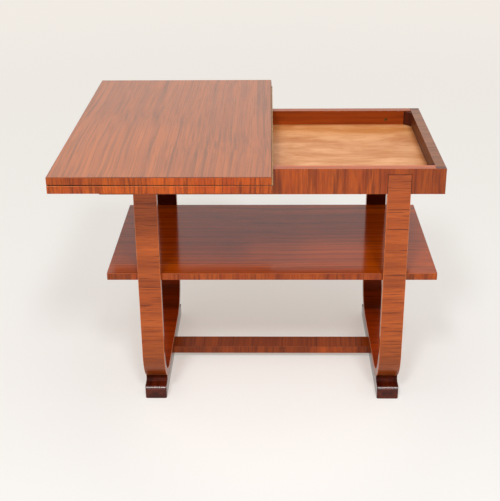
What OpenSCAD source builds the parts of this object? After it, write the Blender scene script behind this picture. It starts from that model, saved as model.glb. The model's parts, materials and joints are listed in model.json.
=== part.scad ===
// Card table with a swivel top that folds over
// Drawn with the top turned a quarter turn, so that half of the well in the box stands open.
// X runs along the box, Y from front to back and Z up. The floor is at z = 0.

/* [Table] */
// Length of the box, and of each leaf
table_l = 840; // [760:1:920]
// Depth of the box, and width of each leaf
table_d = 508; // [460:1:560]
// Height with the leaves folded together
table_h = 696; // [660:1:760]

/* [Top] */
// Thickness of each leaf
leaf_t = 19.2; // [17:0.1:24]
// Gap between the folded leaves
leaf_gap = 1.2; // [0.6:0.1:1.6]
// Gap between the lower leaf and the rim that it swivels over
top_gap = 0.8; // [0.3:0.05:1]
// Thickness of the baize let into each leaf
baize_t = 1; // [0.8:0.1:1.6]
// Width of the veneered border round the baize
border_w = 45; // [25:1:80]
// Width of the border along the fold
fold_border_w = 10; // [8:1:30]

/* [Box] */
// Height of the four sides
apron_h = 65.5; // [62:0.5:75]
// Thickness of the four sides
apron_t = 25; // [22:0.5:30]
// Depth of the well, from the rim to its floor
well_d = 40; // [39:0.5:44]
// Thickness of the well's floor panel
floor_t = 6; // [4:0.5:8]
// Depth of the groove that holds the floor panel
groove_d = 6; // [4:0.5:8]
// Short side of the triangular corner blocks
block_w = 20; // [12:1:30]
// Distance from the rim down to the corner blocks
block_drop = 2; // [0:0.5:10]

/* [End frames] */
// Distance from the middle of the table to the middle of each end frame
frame_x = 309; // [260:1:340]
// Width of the bent board
leg_w = 57; // [48:1:70]
// Thickness of the bent board
leg_t = 20; // [17:0.5:25]
// Outer radius of the two bends at the foot
bend_r = 115; // [60:1:160]
// Distance from the rim down to the leg heads
head_drop = 15; // [10:1:25]
// Thickness of the leg heads, let in flush with the box
lap_t = 12; // [9:0.5:14]

/* [Base rails] */
// Height of each base rail where the end frame lies flat on it
rail_h = 28; // [26:0.5:32]
// Height of the toes
toe_h = 36; // [34:0.5:40]
// Distance from the leg faces back to the toe ends
toe_inset = 12; // [6:0.5:30]
// Distance from the leg faces back to the front of the shaped seat
seat_inset = 48; // [44:1:60]
// Height of each of the two small steps between the seat and the toe
step_h = 2.2; // [1:0.1:2.4]
// Depth of each small step
step_d = 3; // [2:0.5:5]
// Radius that rounds the upper edge of each toe
toe_r = 10; // [6:0.5:16]
// Radius of the toes' upright corners
toe_corner = 5; // [2:0.5:8]

/* [Shelf] */
// Length of the shelf
shelf_l = 839; // [740:1:900]
// Thickness of the shelf
shelf_t = 18.5; // [16:0.5:24]
// Height of the shelf's upper face above the floor
shelf_z = 367.5; // [300:0.5:450]

/* [Stretcher] */
// Width of the stretcher
stretcher_w = 57; // [45:1:80]
// Thickness of the stretcher
stretcher_t = 22; // [20:0.5:26]
// Height of the stretcher's upper face above the end frames' undersides
stretcher_rise = 9.5; // [6:0.5:10]

/* [Swivel] */
// Width of the bearer rail that carries the pivot
bearer_w = 70; // [66:1:90]
// Thickness of the bearer rail
bearer_t = 25; // [22:0.5:26]
// Length of the bearer's tenons
tenon_l = 10; // [6:1:12]
// Thickness of the bearer's tenons
tenon_t = 12; // [8:1:16]
// How far each tenon shoulder stands in from the bearer's sides
tenon_shoulder = 10; // [6:1:16]
// Radius of the pivot bolt
bolt_r = 6; // [4:0.5:8]
// Side of the square pivot plate
plate_w = 60; // [50:1:64]
// Thickness of the pivot plate
plate_t = 4; // [3:0.5:6]
// Radius of the pivot washers
washer_r = 14; // [12:0.5:18]
// Thickness of the washer under the bearer
washer_t = 2; // [1:0.5:2.5]
// Thickness of the pivot nut
nut_t = 6; // [4:0.5:7]
// Radius of the stop peg
peg_r = 6; // [4:0.5:8]
// How far the stop peg hangs below the lower leaf
peg_l = 18; // [8:1:22]
// How far the stop peg is let into the lower leaf
peg_in = 10; // [6:0.5:12]

/* [Hinge] */
// Radius of the hinge knuckles
knuckle_r = 2.5; // [2:0.1:3]
// Radius of the hinge pin
pin_r = 1.1; // [0.8:0.05:1.4]
// Number of knuckles along the hinge
knuckle_count = 40; // [20:2:60]
// Distance from the leaf ends to the hinge ends
hinge_inset = 6; // [2:0.5:40]
// Thickness of the hinge plates
hinge_plate_t = 0.6; // [0.4:0.05:0.7]
// Height of the hinge plates on the leaf edges
hinge_plate_h = 11; // [8:0.5:12]
// Distance from the leaf edges out to the hinge pin
pin_out = 0.9; // [0.85:0.05:1.2]

/* [Fixings] */
// Radius of the screw shanks
screw_r = 2; // [1.5:0.1:2.4]
// Radius of the screw heads
screw_head_r = 4; // [3.2:0.1:4.6]
// Height of the screw heads' cones
screw_head_h = 2.5; // [1.5:0.1:3]
// Radius of the dowels
dowel_r = 4; // [3:0.5:4.5]
// Depth of each dowel in the board that it is let into first
dowel_in = 12; // [8:0.5:14]
// Depth of each dowel in the end of the shelf or stretcher
dowel_out = 26; // [15:1:35]
// Distance from the rim down to the upper screw in each leg head
lap_screw_drop = 26; // [24:0.5:30]

/* [Clearances] */
// Radial clearance of shafts and fixings in their holes
fit = 0.05; // [0.02:0.01:0.08]
// End clearance of pieces in their blind holes
end_gap = 0.5; // [0.2:0.1:1]
// Gap between moving pieces
run_gap = 0.3; // [0.2:0.05:0.4]

/* [Hidden] */
$fn = 96;
// Smallest overcut, so that no cutting face lies on a surface
over = 1;

leaf_w = table_d;
base_x = (leaf_w - table_l / 2) / 2;

// Levels, from the top down
upper_leaf_z = table_h - leaf_t;
lower_leaf_top = upper_leaf_z - leaf_gap;
lower_leaf_z = lower_leaf_top - leaf_t;
rim_z = lower_leaf_z - top_gap;
apron_z = rim_z - apron_h;
floor_top = rim_z - well_d;
floor_z = floor_top - floor_t;
head_z = rim_z - head_drop;
shelf_under = shelf_z - shelf_t;
stretcher_z = rail_h + stretcher_rise - stretcher_t;

// Inside of the box, and between the legs
inner_l = table_l - 2 * apron_t;
inner_d = table_d - 2 * apron_t;
shelf_d = table_d - 2 * leg_t;
toe_y = table_d / 2 - toe_inset;

// The pivot stands a quarter of a leaf's width from the fold and from the middle,
// so a quarter turn brings the folded leaves square over the box
pivot = [-leaf_w / 4, leaf_w / 4];
bearer_under = rim_z - bearer_t;
washer_z = bearer_under - run_gap / 2 - washer_t;
nut_z = washer_z - nut_t;
bolt_end = nut_z - over;
nut_r = bolt_r * 1.8;
plate_screw = plate_w / 2 - 1.6 * screw_head_r;

// The peg meets the same side of the bearer at both ends of the quarter turn
peg_off = bearer_w / 2 + peg_r + run_gap;

// Hinge
hinge_z = lower_leaf_top + leaf_gap / 2;
hinge_l = table_l - 2 * hinge_inset;
knuckle_pitch = hinge_l / knuckle_count;
relief_r = knuckle_r + run_gap;

// Screws and dowels
lap_screw_l = apron_t - lap_t + lap_t * 0.7;
lap_screw_x = leg_w * 0.28;
high_screw_z = rim_z - lap_screw_drop;
low_screw_z = (apron_z + floor_z) / 2;
rail_screw_in = rail_h / 4;
rail_screw_l = rail_h - rail_screw_in + leg_t * 0.6;
rail_screw_y = table_d / 5;
shelf_dowel_x = leg_w / 4;
stretcher_dowel_y = stretcher_w / 4;
stretcher_dowel_z = (stretcher_z + rail_h) / 2;

walnut = [0.55, 0.27, 0.14];
crossband = [0.68, 0.32, 0.14];
inside = [0.60, 0.29, 0.12];
ply = [0.86, 0.62, 0.38];
dark = [0.20, 0.07, 0.05];
beech = [0.80, 0.63, 0.43];
brass = [0.78, 0.62, 0.32];
steel = [0.62, 0.63, 0.65];
baize_green = [0.10, 0.35, 0.20];

// Placing

module at_base() {
    translate([base_x, 0, 0])
        children();
}

// A board given by its middle in plan, its size in plan and its lower and upper faces
module board(mid, size, z0, z1) {
    translate([mid[0] - size[0] / 2, mid[1] - size[1] / 2, z0])
        cube([size[0], size[1], z1 - z0]);
}

// A profile drawn in Y and Z, w wide about the end frame on one side
module across(side, w) {
    translate([side * frame_x - w / 2, 0, 0])
        rotate([90, 0, 90])
            linear_extrude(w)
                children();
}

// A countersunk screw with its head's face at z = 0, pointing down
module screw(len, grow = 0) {
    translate([0, 0, -screw_head_h])
        cylinder(h = screw_head_h, r1 = screw_r + grow, r2 = screw_head_r + grow);
    translate([0, 0, -len - (grow > 0 ? end_gap : 0)])
        cylinder(h = len + (grow > 0 ? end_gap : 0), r = screw_r + grow);
}

// A dowel along Z with its middle joint at z = 0
module dowel(grow = 0) {
    extra = grow > 0 ? end_gap : 0;
    translate([0, 0, -dowel_in - extra])
        cylinder(h = dowel_in + dowel_out + 2 * extra, r = dowel_r + grow);
}

// Box

// Space of the floor panel, also cut as the groove in the four sides
module floor_space(play = 0) {
    grip = 2 * groove_d - 4 * fit + 2 * play;
    board([0, 0], [inner_l + grip, inner_d + grip], floor_z, floor_top + (play > 0 ? fit : 0));
}

// Laps in the front and back sides for the leg heads
module head_laps() {
    for (side = [-1, 1], end = [-1, 1])
        board([side * frame_x, end * (table_d - lap_t + over) / 2], [leg_w, lap_t + over], apron_z - over, head_z);
}

// Screws that hold one leg head from inside the box
module lap_screws(side, end, grow = 0) {
    spots = [[lap_screw_x, high_screw_z], [-lap_screw_x, low_screw_z]];
    for (spot = spots)
        translate([side * (frame_x + spot[0]), end * inner_d / 2, spot[1]])
            rotate([end * 90, 0, 0])
                screw(lap_screw_l, grow);
}

module all_lap_screws(grow) {
    for (side = [-1, 1], end = [-1, 1])
        lap_screws(side, end, grow);
}

module bearer_body(grow = 0) {
    board([pivot[0], 0], [bearer_w, inner_d], bearer_under, rim_z);
    bearer_tenons(grow);
}

module bearer_tenons(grow = 0) {
    tenon_mid = (bearer_under + rim_z) / 2;
    board([pivot[0], 0], [bearer_w - 2 * tenon_shoulder + 2 * grow, inner_d + 2 * tenon_l + 2 * grow],
        tenon_mid - tenon_t / 2 - grow, tenon_mid + tenon_t / 2 + grow);
}

// Front or back side, between the two end sides
module long_apron(end) {
    difference() {
        board([0, end * (table_d - apron_t) / 2], [inner_l, apron_t], apron_z, rim_z);
        head_laps();
        floor_space(2 * fit);
        bearer_tenons(fit);
        all_lap_screws(fit);
    }
}

// Left or right side, over the full depth
module end_apron(side) {
    difference() {
        board([side * (table_l - apron_t) / 2, 0], [apron_t, table_d], apron_z, rim_z);
        floor_space(2 * fit);
    }
}

module corner_block(side, end) {
    translate([side * inner_l / 2, end * inner_d / 2, floor_top])
        linear_extrude(rim_z - block_drop - floor_top)
            polygon([[0, 0], [-side * block_w, 0], [0, -end * block_w]]);
}

// Base

// Outline of the bent board's outer or inner line, round at the two lower corners
module u_outline(w, r, z0, z1) {
    translate([-w / 2, z0 + r])
        square([w, z1 - z0 - r]);
    translate([-w / 2 + r, z0])
        square([w - 2 * r, r + over]);
    for (end = [-1, 1])
        translate([end * (w / 2 - r), z0 + r])
            circle(r);
}

// End frame, one board bent to a U, with its heads thinned to lie in the box
module end_frame(side) {
    difference() {
        across(side, leg_w)
            difference() {
                u_outline(table_d, bend_r, rail_h, head_z);
                u_outline(table_d - 2 * leg_t, bend_r - leg_t, rail_h + leg_t, head_z + over);
            }
        board([side * frame_x, 0], [leg_w + 2 * over, table_d - 2 * lap_t], apron_z, head_z + over);
        all_lap_screws(fit);
        rail_screws(side, fit);
        shelf_dowels(side, fit);
    }
}

// Base rail seen from the side: a seat that follows the frame's bends, two small steps and a rounded toe at each end
module rail_profile() {
    seat_y = table_d / 2 - seat_inset;
    seat_top = rail_h + bend_r - sqrt(pow(bend_r, 2) - pow(bend_r - seat_inset, 2)) - over;
    difference() {
        union() {
            translate([-toe_y, 0])
                square([2 * toe_y, toe_h - toe_r]);
            translate([-toe_y + toe_r, 0])
                square([2 * (toe_y - toe_r), toe_h]);
            for (end = [-1, 1])
                translate([end * (toe_y - toe_r), toe_h - toe_r])
                    circle(toe_r);
            translate([-seat_y - 2 * step_d, 0])
                square([2 * (seat_y + 2 * step_d), toe_h + step_h]);
            translate([-seat_y - step_d, 0])
                square([2 * (seat_y + step_d), toe_h + 2 * step_h]);
            translate([-seat_y, 0])
                square([2 * seat_y, seat_top]);
        }
        u_outline(table_d, bend_r, rail_h, head_z);
    }
}

// Base rail seen from above, with its upright corners rounded
module rail_plan() {
    half = leg_w / 2;
    translate([-half + toe_corner, -toe_y])
        square([leg_w - 2 * toe_corner, 2 * toe_y]);
    translate([-half, -toe_y + toe_corner])
        square([leg_w, 2 * (toe_y - toe_corner)]);
    for (a = [-1, 1], b = [-1, 1])
        translate([a * (half - toe_corner), b * (toe_y - toe_corner)])
            circle(toe_corner);
}

module base_rail(side) {
    difference() {
        intersection() {
            across(side, leg_w)
                rail_profile();
            translate([side * frame_x, 0, -over])
                linear_extrude(toe_h + bend_r)
                    rail_plan();
        }
        rail_screws(side, fit);
        stretcher_dowels(side, fit);
    }
}

// Screws up through a base rail, with their heads sunk above the floor
module rail_screws(side, grow = 0) {
    for (spot = [-1, 0, 1])
        translate([side * frame_x, spot * rail_screw_y, rail_screw_in]) {
            rotate([180, 0, 0])
                screw(rail_screw_l, grow);
            if (grow > 0)
                translate([0, 0, -rail_screw_in - over])
                    cylinder(h = rail_screw_in + over, r = screw_head_r + grow);
        }
}

module shelf_dowels(side, grow = 0) {
    for (end = [-1, 1], spot = [-1, 1])
        translate([side * frame_x + spot * shelf_dowel_x, end * shelf_d / 2, shelf_z - shelf_t / 2])
            rotate([end * 90, 0, 0])
                dowel(grow);
}

module stretcher_dowels(side, grow = 0) {
    for (spot = [-1, 1])
        translate([side * (frame_x - leg_w / 2), spot * stretcher_dowel_y, stretcher_dowel_z])
            rotate([0, -side * 90, 0])
                dowel(grow);
}

// Top

module leaf_board(z0, z1) {
    board([-leaf_w / 2, 0], [leaf_w, table_l], z0, z1);
}

// Round channel along the fold in which the knuckles turn
module hinge_relief() {
    translate([pin_out, table_l / 2 + over, hinge_z])
        rotate([90, 0, 0])
            cylinder(h = table_l + 2 * over, r = relief_r);
}

module baize_sheet(z0, z1, grow = 0) {
    left = -leaf_w + border_w;
    right = -fold_border_w;
    board([(left + right) / 2, 0], [right - left + 2 * grow, table_l - 2 * border_w + 2 * grow], z0, z1);
}

module plate_screws(grow = 0) {
    for (a = [-1, 1], b = [-1, 1])
        translate([pivot[0] + a * plate_screw, pivot[1] + b * plate_screw, lower_leaf_z])
            rotate([180, 0, 0])
                screw(plate_t + 10, grow);
}

module bolt_body(grow = 0) {
    translate([pivot[0], pivot[1], bolt_end])
        cylinder(h = lower_leaf_z + plate_t - bolt_end, r = bolt_r + grow);
    translate([pivot[0], pivot[1], lower_leaf_z])
        cylinder(h = plate_t, r1 = bolt_r + grow, r2 = bolt_r + plate_t + grow);
}

module peg_body(grow = 0) {
    translate([pivot[0] + peg_off, pivot[1] - peg_off, lower_leaf_z - peg_l])
        cylinder(h = peg_l + peg_in + (grow > 0 ? end_gap : 0), r = peg_r + grow);
}

// Knuckles from one end of the hinge on, every second one
module knuckles(first) {
    for (i = [first:2:knuckle_count - 1])
        translate([pin_out, -hinge_l / 2 + (i + 1) * knuckle_pitch - run_gap / 2, hinge_z])
            rotate([90, 0, 0])
                difference() {
                    union() {
                        cylinder(h = knuckle_pitch - run_gap, r = knuckle_r);
                        translate([-pin_out, first == 0 ? -relief_r - over : 0, 0])
                            cube([hinge_plate_t, relief_r + over, knuckle_pitch - run_gap]);
                    }
                    translate([0, 0, -over])
                        cylinder(h = knuckle_pitch + over, r = pin_r + fit, $fn = 32);
                }
}

// One side of the hinge, its plate flat on the leaf's edge
module hinge_side(first) {
    plate_z = first == 0 ? hinge_z - relief_r - hinge_plate_h : hinge_z + relief_r;
    translate([0, -hinge_l / 2, plate_z])
        cube([hinge_plate_t, hinge_l, hinge_plate_h]);
    knuckles(first);
}

// Sub-parts

module left_base_rail() { color(dark) at_base() base_rail(-1); }
module right_base_rail() { color(dark) at_base() base_rail(1); }
module left_end_frame() { color(crossband) at_base() end_frame(-1); }
module right_end_frame() { color(crossband) at_base() end_frame(1); }

module stretcher() {
    color(walnut)
        at_base()
            difference() {
                board([0, 0], [2 * frame_x - leg_w, stretcher_w], stretcher_z, stretcher_z + stretcher_t);
                stretcher_dowels(-1, fit);
                stretcher_dowels(1, fit);
            }
}

module shelf() {
    color(walnut)
        at_base()
            difference() {
                board([0, 0], [shelf_l, shelf_d], shelf_under, shelf_z);
                shelf_dowels(-1, fit);
                shelf_dowels(1, fit);
            }
}

module front_apron() { color(crossband) at_base() long_apron(-1); }
module back_apron() { color(crossband) at_base() long_apron(1); }
module left_apron() { color(crossband) at_base() end_apron(-1); }
module right_apron() { color(crossband) at_base() end_apron(1); }
module well_floor() { color(ply) at_base() floor_space(); }
module corner_block_front_left() { color(inside) at_base() corner_block(-1, -1); }
module corner_block_front_right() { color(inside) at_base() corner_block(1, -1); }
module corner_block_back_left() { color(inside) at_base() corner_block(-1, 1); }
module corner_block_back_right() { color(inside) at_base() corner_block(1, 1); }

module pivot_bearer() {
    color(beech)
        at_base()
            difference() {
                bearer_body();
                bolt_body(fit);
            }
}

module lap_screws_front_left() { color(steel) at_base() lap_screws(-1, -1); }
module lap_screws_front_right() { color(steel) at_base() lap_screws(1, -1); }
module lap_screws_back_left() { color(steel) at_base() lap_screws(-1, 1); }
module lap_screws_back_right() { color(steel) at_base() lap_screws(1, 1); }
module rail_screws_left() { color(steel) at_base() rail_screws(-1); }
module rail_screws_right() { color(steel) at_base() rail_screws(1); }
module shelf_dowels_left() { color(beech) at_base() shelf_dowels(-1); }
module shelf_dowels_right() { color(beech) at_base() shelf_dowels(1); }
module stretcher_dowels_left() { color(beech) at_base() stretcher_dowels(-1); }
module stretcher_dowels_right() { color(beech) at_base() stretcher_dowels(1); }

module lower_leaf() {
    color(walnut)
        at_base()
            difference() {
                leaf_board(lower_leaf_z, lower_leaf_top);
                baize_sheet(lower_leaf_top - baize_t, lower_leaf_top + over);
                board(pivot, [plate_w, plate_w], lower_leaf_z - over, lower_leaf_z + plate_t);
                plate_screws(fit);
                peg_body(fit);
                hinge_relief();
            }
}

module lower_baize() { color(baize_green) at_base() baize_sheet(lower_leaf_top - baize_t, lower_leaf_top); }

module pivot_plate() {
    color(steel)
        at_base()
            difference() {
                board(pivot, [plate_w, plate_w], lower_leaf_z, lower_leaf_z + plate_t);
                bolt_body(fit);
                plate_screws(fit);
            }
}

module pivot_plate_screws() { color(steel) at_base() plate_screws(); }
module pivot_bolt() { color(steel) at_base() bolt_body(); }

// Washer that keeps the leaf's face off the bearer
module pivot_spacer() {
    color(brass)
        at_base()
            translate([pivot[0], pivot[1], rim_z + top_gap / 4])
                difference() {
                    cylinder(h = top_gap * 3 / 4, r = washer_r);
                    translate([0, 0, -over])
                        cylinder(h = top_gap + 2 * over, r = bolt_r + fit);
                }
}

module pivot_washer() {
    color(steel)
        at_base()
            translate([pivot[0], pivot[1], washer_z])
                difference() {
                    cylinder(h = washer_t, r = washer_r);
                    translate([0, 0, -over])
                        cylinder(h = washer_t + 2 * over, r = bolt_r + fit);
                }
}

module pivot_nut() {
    color(steel)
        at_base()
            translate([pivot[0], pivot[1], nut_z])
                difference() {
                    cylinder(h = nut_t, r = nut_r, $fn = 6);
                    translate([0, 0, -over])
                        cylinder(h = nut_t + 2 * over, r = bolt_r + fit);
                }
}

module stop_peg() { color(beech) at_base() peg_body(); }
module hinge_lower_plate() { color(brass) at_base() hinge_side(0); }
module hinge_upper_plate() { color(brass) at_base() hinge_side(1); }

module hinge_pin() {
    color(steel)
        at_base()
            translate([pin_out, hinge_l / 2, hinge_z])
                rotate([90, 0, 0])
                    cylinder(h = hinge_l, r = pin_r, $fn = 32);
}

module upper_leaf() {
    color(walnut)
        at_base()
            difference() {
                leaf_board(upper_leaf_z, table_h);
                baize_sheet(upper_leaf_z - over, upper_leaf_z + baize_t);
                hinge_relief();
            }
}

module upper_baize() { color(baize_green) at_base() baize_sheet(upper_leaf_z, upper_leaf_z + baize_t); }

left_base_rail();
right_base_rail();
left_end_frame();
right_end_frame();
stretcher();
shelf();
front_apron();
back_apron();
left_apron();
right_apron();
well_floor();
corner_block_front_left();
corner_block_front_right();
corner_block_back_left();
corner_block_back_right();
pivot_bearer();
lap_screws_front_left();
lap_screws_front_right();
lap_screws_back_left();
lap_screws_back_right();
rail_screws_left();
rail_screws_right();
shelf_dowels_left();
shelf_dowels_right();
stretcher_dowels_left();
stretcher_dowels_right();
lower_leaf();
lower_baize();
pivot_plate();
pivot_plate_screws();
pivot_bolt();
pivot_spacer();
pivot_washer();
pivot_nut();
stop_peg();
hinge_lower_plate();
hinge_pin();
upper_leaf();
upper_baize();
hinge_upper_plate();
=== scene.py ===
# %% [markdown]
# # A card table with a swivel, fold-over top
#
# This lesson dresses a card table of the 1930s: polished walnut veneer, near-black feet and a brass hinge.
# The construction is already made as solid pieces. Here each piece gets its eased edges, its finish, and
# the small things that a solid model leaves out, such as hinge screws and the dark lines in the joints.

# %% Start from the table's pieces
import json
import math

import bmesh
import bpy
from mathutils import Matrix, Vector

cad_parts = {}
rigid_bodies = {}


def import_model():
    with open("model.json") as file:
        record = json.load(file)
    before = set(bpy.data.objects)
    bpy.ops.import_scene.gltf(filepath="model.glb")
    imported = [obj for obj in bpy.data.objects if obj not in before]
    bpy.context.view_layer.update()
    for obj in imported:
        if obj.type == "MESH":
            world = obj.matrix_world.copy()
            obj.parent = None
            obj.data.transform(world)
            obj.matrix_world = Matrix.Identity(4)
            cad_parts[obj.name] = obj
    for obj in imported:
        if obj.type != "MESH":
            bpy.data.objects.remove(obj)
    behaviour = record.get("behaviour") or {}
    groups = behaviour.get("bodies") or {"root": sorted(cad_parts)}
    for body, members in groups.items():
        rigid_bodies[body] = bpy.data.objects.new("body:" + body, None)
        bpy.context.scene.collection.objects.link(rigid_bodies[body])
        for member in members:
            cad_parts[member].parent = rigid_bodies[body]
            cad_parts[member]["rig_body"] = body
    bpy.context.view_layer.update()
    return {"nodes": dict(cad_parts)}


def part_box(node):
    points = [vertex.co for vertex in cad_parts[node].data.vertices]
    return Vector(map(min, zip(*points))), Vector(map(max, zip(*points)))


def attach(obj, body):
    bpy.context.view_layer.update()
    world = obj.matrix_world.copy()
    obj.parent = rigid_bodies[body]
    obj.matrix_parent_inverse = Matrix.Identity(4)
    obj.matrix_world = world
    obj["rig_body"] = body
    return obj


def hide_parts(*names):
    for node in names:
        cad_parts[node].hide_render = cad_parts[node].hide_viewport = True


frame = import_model()
MM = 0.001

# %% [markdown]
# ## The camera first
#
# The picture was taken from standing height, a little over two metres from the table, with a longish lens.
# The camera is placed before anything is made, so that each piece can be judged from the right place. Its
# lens is written in pixels of the picture, since it was fitted to the edges of the real table there. Its
# turn is three plain angles: a small turn to the left, a tilt down and a slight roll.

# %% Camera
IMAGE_WIDE, IMAGE_HIGH = 500, 501
FOCAL_PIXELS = 1005.35
LENS_AXIS = (251.98, 242.36)
FILM_WIDE = 36.0
FARTHEST = 100.0
CAMERA_AT = Vector((0.0405, -2.5307, 1.4772))
TURN, TILT, ROLL = math.radians(-1.136), math.radians(-24.012), math.radians(-0.492)

lens = bpy.data.cameras.new("camera")
lens.sensor_width = FILM_WIDE
lens.lens = FOCAL_PIXELS / IMAGE_HIGH * FILM_WIDE
lens.shift_x = (IMAGE_WIDE / 2 - LENS_AXIS[0]) / IMAGE_HIGH
lens.shift_y = (LENS_AXIS[1] - IMAGE_HIGH / 2) / IMAGE_HIGH
lens.clip_end = FARTHEST
camera = bpy.data.objects.new("camera", lens)
bpy.context.scene.collection.objects.link(camera)
tilted = Matrix.Rotation(math.pi / 2 + TILT, 4, "X")
aim = Matrix.Rotation(-TURN, 4, "Z") @ tilted @ Matrix.Rotation(ROLL, 4, "Z")
camera.matrix_world = Matrix.Translation(CAMERA_AT) @ aim
bpy.context.scene.camera = camera
bpy.context.scene.view_settings.view_transform = "Standard"
print("lens of", round(lens.lens, 1), "mm")

# %% [markdown]
# ## Helpers for materials
#
# A node material is a chain of small steps. `step` adds one node and fills its sockets, with a number, a
# colour or another node's output, so a whole finish can be read from top to bottom like a recipe. Colours
# are written as a screen shows them, because a picture is measured that way, and `tone` turns them into the
# shader's values.

# %% Steps of a node material
def step(tree, kind, sockets=None, out=0, **settings):
    """Add one node, fill its sockets, and give back one of its outputs."""
    node = tree.nodes.new("ShaderNode" + kind)
    for name, value in settings.items():
        setattr(node, name, value)
    for name, value in (sockets or {}).items():
        socket = node.inputs[name]
        if isinstance(value, bpy.types.NodeSocket):
            tree.links.new(value, socket)
        else:
            socket.default_value = value
    return node.outputs[out]


def tone(red, green, blue):
    """A colour as it looks on a screen, 0 to 255, in the linear values that shaders use."""
    linear = []
    for channel in (red, green, blue):
        shown = channel / 255
        linear.append(shown / 12.92 if shown < 0.04 else ((shown + 0.055) / 1.055) ** 2.4)
    return (*linear, 1.0)


def math_step(tree, operation, first, second=0.0, third=0.0):
    return step(tree, "Math", {0: first, 1: second, 2: third}, operation=operation)


def blend_colours(tree, amount, first, second):
    return step(tree, "Mix", {0: amount, 6: first, 7: second}, out=2, data_type="RGBA")


print("walnut brown on a screen is", [round(c, 3) for c in tone(176, 99, 58)[:3]], "for a shader")

# %% [markdown]
# ## Clouds and ranges
#
# Nearly every pattern on the table is soft noise. `clouds` makes it, and `between` spreads out the part of
# it that lies between two values, which turns clouds into bands, streaks or spots. `new_finish` starts a
# material with the values that are the same all over a piece.

# %% Clouds, ranges and new finishes
def clouds(tree, place, scale, detail=2.0, rough=0.5):
    return step(tree, "TexNoise", {"Vector": place, "Scale": scale, "Detail": detail, "Roughness": rough})


def between(tree, value, low, high, start=0.0, end=1.0):
    """The part of value from low to high, spread out smoothly from start to end."""
    return step(
        tree,
        "MapRange",
        {"Value": value, "From Min": low, "From Max": high, "To Min": start, "To Max": end},
        interpolation_type="SMOOTHSTEP",
    )


def new_finish(name, roughness=0.3, **constants):
    material = bpy.data.materials.new(name)
    material.use_nodes = True
    shader = material.node_tree.nodes["Principled BSDF"]
    shader.inputs["Roughness"].default_value = roughness
    for socket, value in constants.items():
        shader.inputs[socket.replace("_", " ")].default_value = value
    return material, material.node_tree, shader


print("material helpers ready")

# %% [markdown]
# ## Grain
#
# Wood grain is noise that has been squeezed along one axis, so that its spots become long streaks. A gentle
# push sideways makes the streaks wander. All patterns read the object's own coordinates, in metres, so a
# streak is as wide on the table as the number says.

# %% Places and grain
def object_place(tree):
    return step(tree, "TexCoord", out="Object")


def one_axis(tree, place, axis):
    return step(tree, "SeparateXYZ", {"Vector": place}, out=axis)


def squeezed(tree, place, along, keep):
    """Places for a grain that runs along one axis. A small keep makes long streaks."""
    scale = [1.0, 1.0, 1.0]
    scale["XYZ".index(along)] = keep
    return step(tree, "Mapping", {"Vector": place, "Scale": scale})


def wavy(tree, place, width, scale=3.0):
    """Places pushed aside a little, so that streaks wander as they do in wood."""
    push = step(tree, "TexNoise", {"Vector": place, "Scale": scale, "Detail": 1.0}, out="Color")
    centred = step(tree, "VectorMath", {0: push, 1: (0.5, 0.5, 0.5)}, operation="SUBTRACT")
    amount = step(tree, "VectorMath", {0: centred, "Scale": width}, operation="SCALE")
    return step(tree, "VectorMath", {0: place, 1: amount}, operation="ADD")


print("grain helpers ready")

# %% [markdown]
# ## The walnut recipe
#
# Four layers make the veneer. A slow cloud drifts between a golden and a redder brown, so that two sheets
# never look alike. Fine fibres run along the grain, and now and then a darker streak runs among them. Short
# pores make the surface look like wood close up. The lacquer on top is clear and fairly glossy, so they
# hardly dent it.

# %% Walnut
DRIFT_SCALE, DRIFT_SHARE = 4.0, 0.35
STREAK_EDGE = 0.14
PORE_SCALE, PORE_DARKNESS, PORE_DULLNESS = 1100.0, 0.3, 0.12


def figure(tree, grain, place, tones, band=26.0, streak=75.0, strong=0.55, rare=0.52, fibre=0.35, fine=3.0):
    """The colour of one sheet of veneer, and the pattern of its pores."""
    light, brown, dark = tones
    drift = between(tree, clouds(tree, place, DRIFT_SCALE), 0.35, 0.65)
    bands = between(tree, clouds(tree, grain, band), 0.32, 0.68)
    share = math_step(tree, "MULTIPLY", bands, 1 - DRIFT_SHARE)
    mixed = math_step(tree, "MULTIPLY_ADD", drift, DRIFT_SHARE, share)
    colour = blend_colours(tree, mixed, brown, light)
    streaks = between(tree, clouds(tree, grain, streak), rare, rare + STREAK_EDGE, 0.0, strong)
    colour = blend_colours(tree, streaks, colour, dark)
    fibres = between(tree, clouds(tree, grain, streak * fine), 0.42, 0.62, 0.0, fibre)
    colour = blend_colours(tree, fibres, colour, dark)
    pores = between(tree, clouds(tree, grain, PORE_SCALE, rough=0.6), 0.52, 0.64, 0.0, PORE_DARKNESS)
    return blend_colours(tree, pores, colour, dark), pores


def lacquered(tree, shader, colour, pores, roughness=0.22, dent=0.12):
    """Clear lacquer over a colour, a little duller and lower in the pores."""
    tree.links.new(colour, shader.inputs["Base Color"])
    dull = between(tree, pores, 0.0, PORE_DARKNESS, roughness, roughness + PORE_DULLNESS)
    tree.links.new(dull, shader.inputs["Roughness"])
    bump = step(tree, "Bump", {"Height": pores, "Strength": dent, "Distance": 0.1 * MM}, invert=True)
    tree.links.new(bump, shader.inputs["Normal"])


print("the walnut recipe is ready")

# %% [markdown]
# ## Strips
#
# Crossbanding is cut from many short strips, laid side by side with the grain upright. Each strip took the
# stain a little differently, so the tone jumps from one to the next. A random number for each strip does
# this.

# %% Strips of veneer
STRIP_WOBBLE = 12 * MM


def strip_tone(tree, along, width, low, high, first=0):
    """A tone for each strip of veneer, for a strip every width metres."""
    strip = math_step(tree, "FLOOR", math_step(tree, "DIVIDE", along, width))
    counted = math_step(tree, "ADD", strip, first)
    chance = step(tree, "TexWhiteNoise", {"W": counted}, noise_dimensions="1D")
    return between(tree, chance, 0.0, 1.0, low, high)


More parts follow.
